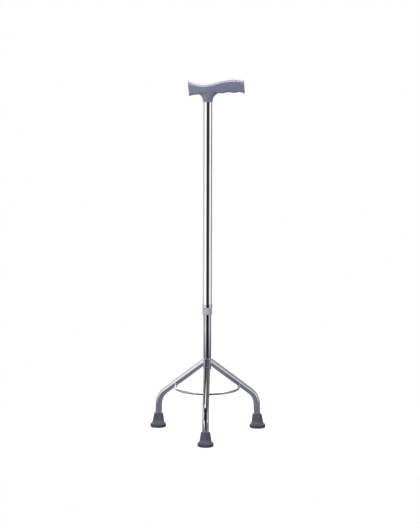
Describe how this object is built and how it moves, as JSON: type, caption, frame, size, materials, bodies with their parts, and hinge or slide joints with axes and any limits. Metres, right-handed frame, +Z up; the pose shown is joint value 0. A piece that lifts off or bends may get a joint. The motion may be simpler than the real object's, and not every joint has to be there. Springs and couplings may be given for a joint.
{
  "type": "tripod walking cane",
  "caption": "Height-adjustable walking cane: palm grip on a telescoping chromed shaft, with bent legs, a rod brace and flared rubber tips.",
  "frame": {"origin": "on the floor, at the centre of the box around the three tips; the shaft's axis stands 35 mm behind it", "axes": "+Z up along the shaft, -Y along the front leg, +X towards the grip's nose"},
  "size_m": [0.2808, 0.2484, 0.8642],
  "materials": {
    "chromed_tube": "bright chromed steel tube",
    "chromed_leg": "bright chromed steel tube, slightly greyer",
    "chromed_rod": "bright chromed steel rod",
    "chromed_ferrule": "bright chromed ring",
    "button_steel": "nickel-plated steel",
    "spring_steel": "blued spring strip",
    "zinc_steel": "zinc-plated steel",
    "tip_rubber": "matt dark grey-blue rubber",
    "grip_plastic": "grey-blue moulded plastic with a fine grain",
    "nut_plastic": "pale grey moulded plastic",
    "bush_plastic": "natural acetal",
    "plug_plastic": "dark moulded plastic"
  },
  "bodies": {
    "base": {"lower_tube": "chromed_tube", "front_leg": "chromed_leg", "right_leg": "chromed_leg", "left_leg": "chromed_leg", "brace": "chromed_rod", "front_tip": "tip_rubber", "right_tip": "tip_rubber", "left_tip": "tip_rubber", "front_tip_washer": "zinc_steel", "right_tip_washer": "zinc_steel", "left_tip_washer": "zinc_steel", "base_plug": "plug_plastic", "guide_bush": "bush_plastic", "snap_spring": "spring_steel"},
    "upper": {"upper_tube": "chromed_tube", "collar_ferrule": "chromed_ferrule", "split_bush": "bush_plastic", "handle": "grip_plastic", "handle_screw": "zinc_steel"},
    "lock": {"locking_nut": "nut_plastic"},
    "button": {"snap_button": "button_steel"}
  },
  "joints": [
    {"name": "height_slide", "type": "slide", "parent": "base", "child": "upper", "axis": [0, 0, 1], "range_m": [-0.075, 0.075]},
    {"name": "nut_turn", "type": "hinge", "parent": "upper", "child": "lock", "pos_m": [0, 0.035, 0.3], "axis": [0, 0, 1], "range_deg": [-90, 0]},
    {"name": "button_press", "type": "slide", "parent": "base", "child": "button", "axis": [0, -1, 0], "range_m": [0, 0.0032], "stiffness_N_per_m": 2000, "deforming": ["snap_spring"]}
  ]
}
